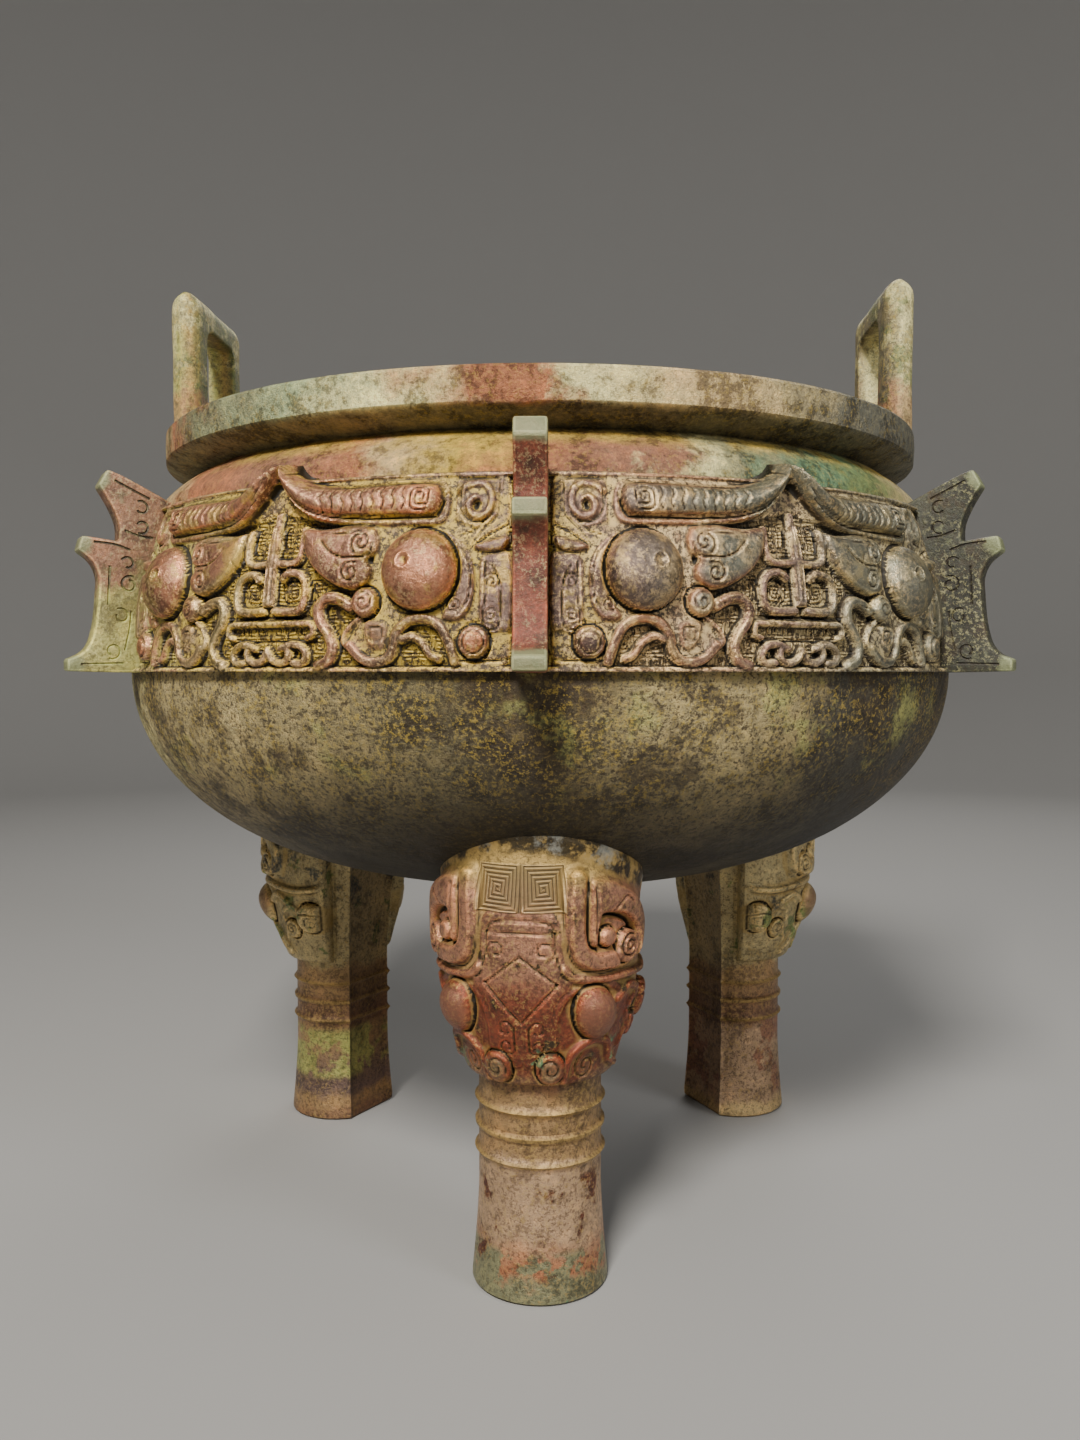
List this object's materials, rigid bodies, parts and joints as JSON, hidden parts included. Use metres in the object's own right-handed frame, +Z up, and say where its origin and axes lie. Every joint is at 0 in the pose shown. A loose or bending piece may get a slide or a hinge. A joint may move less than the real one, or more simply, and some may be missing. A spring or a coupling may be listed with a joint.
{
  "type": "bronze ding vessel",
  "caption": "Round bronze cauldron on three legs with two upright loop handles, a thick lip, a band of mask panels and hooked flanges.",
  "frame": {"origin": "on the floor, under the bowl's axis", "axes": "+Z up along the bowl's axis; -Y towards the front leg; the handles stand at +X and -X"},
  "size_m": [0.3466, 0.391, 0.372],
  "materials": {
    "bronze": "cast bronze with a dry mottled patina: ochre, brick red, olive and charcoal"
  },
  "bodies": {
    "root": {"ding": "bronze"}
  },
  "joints": []
}
